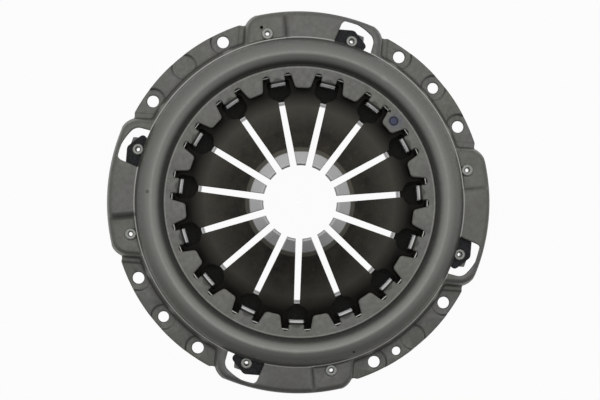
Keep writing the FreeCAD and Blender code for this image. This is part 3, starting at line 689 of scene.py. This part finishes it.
spring = {
    "thickness": 2.4, "edgeRoll": 0.5, "edgeDrop": 0.25,
    "outer": 113.0, "tip": 27.5, "rimHeight": 25.526,
    "bend": 52.0, "bendHeight": 38.492, "bendRound": 120.0, "worn": 38.2, "wornHeight": 41.96, "wornRound": 6.0,
    "crest": 28.9, "crestHeight": 43.2, "crestRound": 1.2, "tipHeight": 42.7,
    "slotTipHalf": 2.5, "slotRootHalf": 2.2,
    "windowInner": 81.0, "windowOuter": 93.5, "windowHalf": 8.5, "windowFunnel": 3.2, "windowRound": 3.2,
    "windowFillet": 1.0,
    "pivot": 0.028927, "keep": 0.08,  # the pivot's height is in metres
    # the zone under the teeth is painted shade
    "dusty": (54.0, 72.0), "shadedUnderTeeth": (72.0, 83.0), "halo": (41.9, 41.1), "polished": (38.7, 37.9), "wander": 0.8,
    "turns": 1080, "rowStep": 0.6, "mostTriangles": 180000,
}


def springOutline(x, y):
    # A ring with a slot between each two fingers, which flares into a rounded window.
    s = spring
    radius = np.hypot(x, y)
    px, py = localAxes(x, y, slotTurn, fingerStep)
    side = np.abs(py)
    funnel = (s["windowInner"] - s["windowFunnel"], s["slotRootHalf"])
    slot = np.maximum(beside(px, side, (s["tip"], s["slotTipHalf"]), funnel), px - s["windowInner"])
    flare = beside(px, side, funnel, (s["windowInner"], s["windowHalf"]))
    window = meet(flare, side - s["windowHalf"], s["windowRound"])
    window = meet(window, px - s["windowOuter"], s["windowRound"])
    ring = np.maximum(radius - s["outer"], s["tip"] - radius)
    return np.maximum(ring, -join(slot, window, s["windowFillet"]))


def makeSpring():
    # The middle of the sheet over radius: a cone whose finger tips bend up and are worn flatter by the bearing.
    # Both faces lie half the thickness away from it, square to it.
    s = spring
    radii = np.append(np.arange(s["tip"] - s["rowStep"], s["outer"], s["rowStep"]), s["outer"] + s["rowStep"])
    x, y, quads = trimmed(*polarGrid(radii, s["turns"]), springOutline)
    profile = roundedPath([
        (s["tip"], s["tipHeight"]),
        (s["crest"], s["crestHeight"], s["crestRound"]),
        (s["worn"], s["wornHeight"], s["wornRound"]),
        (s["bend"], s["bendHeight"], s["bendRound"]),
        (s["outer"], s["rimHeight"]),
    ])
    run = np.gradient(profile, axis=0)
    run /= np.linalg.norm(run, axis=1)[:, None]
    away = np.stack([-run[:, 1], run[:, 0]], -1) * s["thickness"] / 2
    roll = np.clip(1 + springOutline(x, y) / s["edgeRoll"], 0, 1) ** 2 * s["edgeDrop"]
    radius = np.hypot(x, y)
    top, under = [np.interp(radius, *(profile + side * away).T) - side * roll for side in (1, -1)]
    piece = closedSheet("diaphragm", x, y, quads, top, under)
    thin(piece, s["mostTriangles"])
    smooth(piece)
    return piece


print("spring")
diaphragm = makeSpring()
diaphragm.data.materials.append(temperedSteel(spring))
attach(diaphragm, bodyCover)
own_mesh(diaphragm)
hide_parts("diaphragm_spring")


# Straps and rivets

strap = {
    "distance": cover["rivetX"], "coverSide": cover["coverRivetY"], "plateSide": -29.9,
    "layers": ("top", "middle", "bottom"), "thickness": 0.8, "top": 20.8, "drop": 2.0,
    "half": 8.5, "overhang": 11.2, "flat": 9.5, "innerCut": 4.5, "outerCut": (9.7, 10.5), "corner": 1.2,
    "acrossStep": 0.85, "alongStep": 0.9, "acrossMargin": 0.9, "alongMargin": 1.0,
}
rivet = {
    "bore": 1.5, "shank": 3.0, "head": 4.65, "headHeight": 1.7, "curl": 1.2, "turns": 48,
    "coverLow": strap["top"] - len(strap["layers"]) * strap["thickness"], "coverHigh": cover["seatTop"],
    "plateLow": 7.6, "plateHigh": strap["top"] - strap["drop"],
}


def leafOutline(along, across):
    # A strip with a hole for each rivet, its ends cut off slantwise, more on the side away from the drum.
    s = strap
    end = (s["coverSide"] - s["plateSide"]) / 2 + s["overhang"]
    span = np.abs(along - (s["coverSide"] + s["plateSide"]) / 2)
    back, down = s["outerCut"]
    outer = -beside(span, across, (end, s["half"] - down), (end - back, s["half"]))
    inner = (span - end - across - s["half"] + s["innerCut"]) / math.sqrt(2)
    shape = meet(meet(span - end, inner, s["corner"]), outer, s["corner"])
    shape = meet(shape, np.abs(across) - s["half"], s["corner"])
    for side in (s["plateSide"], s["coverSide"]):
        shape = np.maximum(shape, cover["rivetHole"] - np.hypot(along - side, across))
    return shape


def makeLeaf(name, angle, layer):
    # A strip that runs flat from the plate rivet, climbs, and runs flat past the cover rivet.
    s = strap
    side, reach = s["half"] + s["acrossMargin"], s["overhang"] + s["alongMargin"]
    low, high = s["plateSide"] + s["flat"], s["coverSide"] - s["flat"]
    across, along = np.meshgrid(
        np.arange(-side, side, s["acrossStep"]),
        np.arange(s["plateSide"] - reach, s["coverSide"] + reach, s["alongStep"]))
    along, across, quads = trimmed(along, across, leafOutline, closed=False)
    top = s["top"] - s["thickness"] * layer - s["drop"] * (1 - ease((along - low) / (high - low)))
    x, y = turned(s["distance"] + across, along, angle)
    piece = closedSheet(name, x, y, quads, top, top - s["thickness"] + hair)
    outward(piece)
    smooth(piece)
    return piece, low, high


def makeRivet(name, angle, side, low, high):
    # A tube rivet with rolled heads: its half section turned about its axis.
    r = rivet
    bottom, crown = low - r["headHeight"], high + r["headHeight"]
    profile = roundedPath([
        (r["bore"], (low + high) / 2),
        (r["bore"], crown, r["curl"]), (r["head"], crown, r["curl"]),
        (r["head"], high + hair), (r["shank"], high), (r["shank"], low), (r["head"], low),
        (r["head"], bottom, r["curl"]), (r["bore"], bottom, r["curl"]),
        (r["bore"], (low + high) / 2),
    ], steps=6)[:-1]
    x, y = turned(strap["distance"], side, angle)
    piece = lathe(name, profile, r["turns"], x, y)
    outward(piece)
    smooth(piece)
    return piece


print("straps")
leafSteel = grainedMetal("blackenedStrapSteel", "#2b2c2d", "#3f4043", 0.8, 0.45, 2.0, 0.02)
rivetZinc = grainedMetal("zincPlatedRivet", "#a3a6a1", "#b6b9b3", 0.9, 0.36, 0.9, 0.02)
for turn, letter in enumerate("abcd"):
    angle = lobeTurn + quarter * turn
    for layer, layerName in enumerate(strap["layers"]):
        leaf, low, high = makeLeaf("strap_%s_%s" % (letter, layerName), angle, layer)
        leaf.data.materials.append(leafSteel)
        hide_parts("strap_%s_%s_leaf" % (letter, layerName))
        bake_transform(leaf)
    for kind, body in (("cover", bodyCover), ("plate", bodyPlate)):
        side, low, high = strap[kind + "Side"], rivet[kind + "Low"], rivet[kind + "High"]
        fastener = makeRivet("rivet_%s_%s" % (kind, letter), angle, side, low, high)
        fastener.data.materials.append(rivetZinc)
        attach(fastener, body)
        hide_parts("%s_rivet_%s" % (kind, letter))


# Cast plate; the wire rings keep their construction shapes

plate = {
    "boreLow": 75.0, "boreHigh": 77.4, "outer": 121.0, "face": 5.6, "back": 15.6, "rim": 14.2,
    "boreChamfer": 0.5, "boreRound": 0.3, "rimChamfer": 0.9, "faceSkin": 0.4,
    "ridge": 110.0, "ridgeHalf": 1.6, "ridgeFoot": 4.5, "ridgeCrest": 24.3, "footRound": 1.5, "crestRound": 1.2,
    "lugHalf": 9.2, "lugReach": 131.7, "lugCorner": 3.0, "lugFillet": 5.0, "lugRise": 0.8,
    "lugBottom": rivet["plateLow"], "lugTop": 16.4,
    "turningPitch": 0.9, "sharpAngle": 40,
    "turns": 1080, "mostTriangles": 120000, "boreStep": 0.4, "rowStep": 0.7, "gridMargin": 4.0,
}


def plateOutline(x, y):
    # A ring with four lugs.
    p = plate
    radius = np.hypot(x, y)
    px, py = localAxes(x, y, lobeTurn, quarter)
    py = py - strap["plateSide"]
    lug = meet(np.abs(py) - p["lugHalf"], px - p["lugReach"], p["lugCorner"])
    shape = np.maximum(join(radius - p["outer"], lug, p["lugFillet"]), p["boreLow"] - radius)
    return np.maximum(shape, cover["rivetHole"] - np.hypot(px - strap["distance"], py))


def makePlate():
    # Height over radius: the coned bore, the flat back, the ridge that the spring presses, and the lower rim.
    p = plate
    radii = np.concatenate([
        np.arange(p["boreLow"] - p["boreStep"], p["boreHigh"], p["boreStep"]),
        np.arange(p["boreHigh"], p["lugReach"] + p["gridMargin"], p["rowStep"]),
    ])
    x, y, quads = trimmed(*polarGrid(radii, p["turns"]), plateOutline)
    radius = np.hypot(x, y)
    edge, shelf = p["outer"] - p["rimChamfer"], p["rim"] - p["rimChamfer"]
    profile = roundedPath([
        (p["boreLow"], p["face"] + p["boreChamfer"]),
        (p["boreHigh"], p["back"], p["boreRound"]),
        (p["ridge"] - p["ridgeFoot"], p["back"], p["footRound"]),
        (p["ridge"] - p["ridgeHalf"], p["ridgeCrest"], p["crestRound"]),
        (p["ridge"] + p["ridgeHalf"], p["ridgeCrest"], p["crestRound"]),
        (p["ridge"] + p["ridgeFoot"], p["rim"], p["footRound"]),
        (edge, p["rim"]),
        (p["outer"], shelf),
    ], steps=6)
    top = np.interp(radius, profile[:, 0], profile[:, 1])
    out = ease((radius - p["outer"]) / p["lugRise"])
    top = np.where(radius > edge, np.maximum(top, shelf + (p["lugTop"] - shelf) * out), top)
    under = p["face"] + (p["lugBottom"] - p["face"]) * out
    piece = closedSheet("pressure_plate_casting", x, y, quads, top, under)
    thin(piece, p["mostTriangles"])
    smooth(piece, p["sharpAngle"])
    return piece


print("plate and rings")
casting = makePlate()
casting.data.materials.append(castIron(plate))
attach(casting, bodyPlate)
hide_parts("pressure_plate")
# the ring wire's colour carries painted shade and a painted highlight
ringWire = pressedSteel("drawnRingWire", wireBands)
for name in ("upper_fulcrum_ring", "lower_fulcrum_ring"):
    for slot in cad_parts[name].material_slots:
        slot.material = ringWire


# Studio

studio = {
    "floorRadius": 2500.0, "floorRings": (0.0004, 0.08, 0.3, 1.0), "floorTurns": 96, "floorDrop": 0.05,
    "floorWhite": 0.96, "floorInMetal": 0.52, "floorFade": (-0.2, -0.02),
    "camera": (-42.4, -5.7, 1500.0), "target": (1.21, 1.71, 0.0),
    "lens": 116.75, "sensor": 36.0, "farthest": 20.0,  # the farthest it sees is in metres
    "lamp": (0.0, 80.0, 1150.0), "lampSize": 600.0, "lampWatts": 0.64,
    "skies": [  # a direction's lean in degrees, then the light by the cosine of the angle from that direction
        (14, [(0.0, 0.18), (0.31, 0.39), (0.5, 0.49), (0.67, 0.53), (0.87, 0.54), (1.0, 0.55)]),
        (-23, [(0.9, 1.0), (0.985, 0.06)]),
        (-80, [(0.4, 1.0), (0.9, 0.5)]),
    ],
}


def onPhoto(place):
    # A place measured along the photograph's right and up directions, in the part's own axes.
    return Vector((*turned(place[0], place[1], -photoTurn), place[2]))


def makeFloor():
    # A round pale floor. The eye, mirrors and glass see it nearly white, with the object's shadow still on it;
    # in metal its near side is darkened with a painted shadow.
    x, y = polarGrid(np.array(studio["floorRings"]) * studio["floorRadius"], studio["floorTurns"])
    points = np.stack([x, y, np.full_like(x, -studio["floorDrop"])], -1)
    index = np.arange(x.size).reshape(x.shape)
    ahead = np.roll(index, -1, 1)
    quads = np.stack([index[:-1], index[1:], ahead[1:], ahead[:-1]], -1).reshape(-1, 4)
    floor = newPiece("floor", points.reshape(-1, 3), quads)
    material, tree, shader, place = newMaterial("paleFloor", 0.0)
    shader.inputs["Base Color"].default_value = colour("#d9d9d9")
    shader.inputs["Roughness"].default_value = 0.7
    rays = tree.nodes.new("ShaderNodeLightPath").outputs
    # a painted shadow darkens the floor's reflection towards the picture's bottom
    up = distanceAlong(tree, place, onPhoto((0, 1, 0)))
    seen = addNode(tree, "ShaderNodeMapRange", {}, up, *studio["floorFade"], 0, studio["floorInMetal"])
    seen = computed(tree, "MULTIPLY", rays["Is Glossy Ray"], seen)
    seen = computed(tree, "MAXIMUM", seen, rays["Is Camera Ray"])
    seen = computed(tree, "MAXIMUM", seen, rays["Is Transmission Ray"])
    share = computed(tree, "MULTIPLY", seen, studio["floorWhite"])
    white = addNode(tree, "ShaderNodeEmission", {"Color": "#ffffff", "Strength": 1.0})
    blend = addNode(tree, "ShaderNodeMixShader", {}, share, shader.outputs[0], white)
    tree.links.new(blend, tree.nodes["Material Output"].inputs["Surface"])
    floor.data.materials.append(material)


def makeWorld():
    # Soft studio light from all round, darker where the camera stands and low down at the near side, and a
    # little brighter towards the top of the picture; the eye sees plain white.
    world = bpy.data.worlds.new("studio")
    bpy.context.scene.world = world
    world.use_nodes = True
    tree = world.node_tree
    place = tree.nodes.new("ShaderNodeTexCoord").outputs["Generated"]
    light = 1.0
    for lean, stops in studio["skies"]:
        lean = math.radians(lean)
        near = distanceAlong(tree, place, onPhoto((0, math.sin(lean), math.cos(lean))))
        light = computed(tree, "MULTIPLY", ramp(tree, near, *stops), light)
    seen = tree.nodes.new("ShaderNodeLightPath").outputs["Is Camera Ray"]
    light = mixed(tree, light, "#ffffff", seen)
    tree.links.new(light, tree.nodes["Background"].inputs["Color"])


def makeLamp():
    # A round soft lamp that faces the part from near the camera.
    light = bpy.data.lights.new("softLamp", "AREA")
    light.shape = "DISK"
    light.size = studio["lampSize"] * mm
    light.energy = studio["lampWatts"]
    lamp = bpy.data.objects.new("softLamp", light)
    lamp.location = onPhoto(studio["lamp"]) * mm
    lamp.rotation_euler = lamp.location.to_track_quat("Z", "Y").to_euler()
    bpy.context.scene.collection.objects.link(lamp)


def makeCamera():
    # Looks from its place at the target, with the photograph's up direction upwards.
    eye, target = onPhoto(studio["camera"]), onPhoto(studio["target"])
    back = (eye - target).normalized()
    right = onPhoto((0, 1, 0)).cross(back).normalized()
    turn = Matrix((right, back.cross(right), back)).transposed()
    camera = bpy.data.cameras.new("camera")
    camera.lens = studio["lens"]
    camera.sensor_width = studio["sensor"]
    camera.clip_end = studio["farthest"]
    holder = bpy.data.objects.new("camera", camera)
    holder.matrix_world = Matrix.Translation(eye * mm) @ turn.to_4x4()
    bpy.context.scene.collection.objects.link(holder)
    bpy.context.scene.camera = holder


print("studio")
makeFloor()
makeWorld()
makeLamp()
makeCamera()
bpy.context.scene.view_settings.view_transform = "Standard"
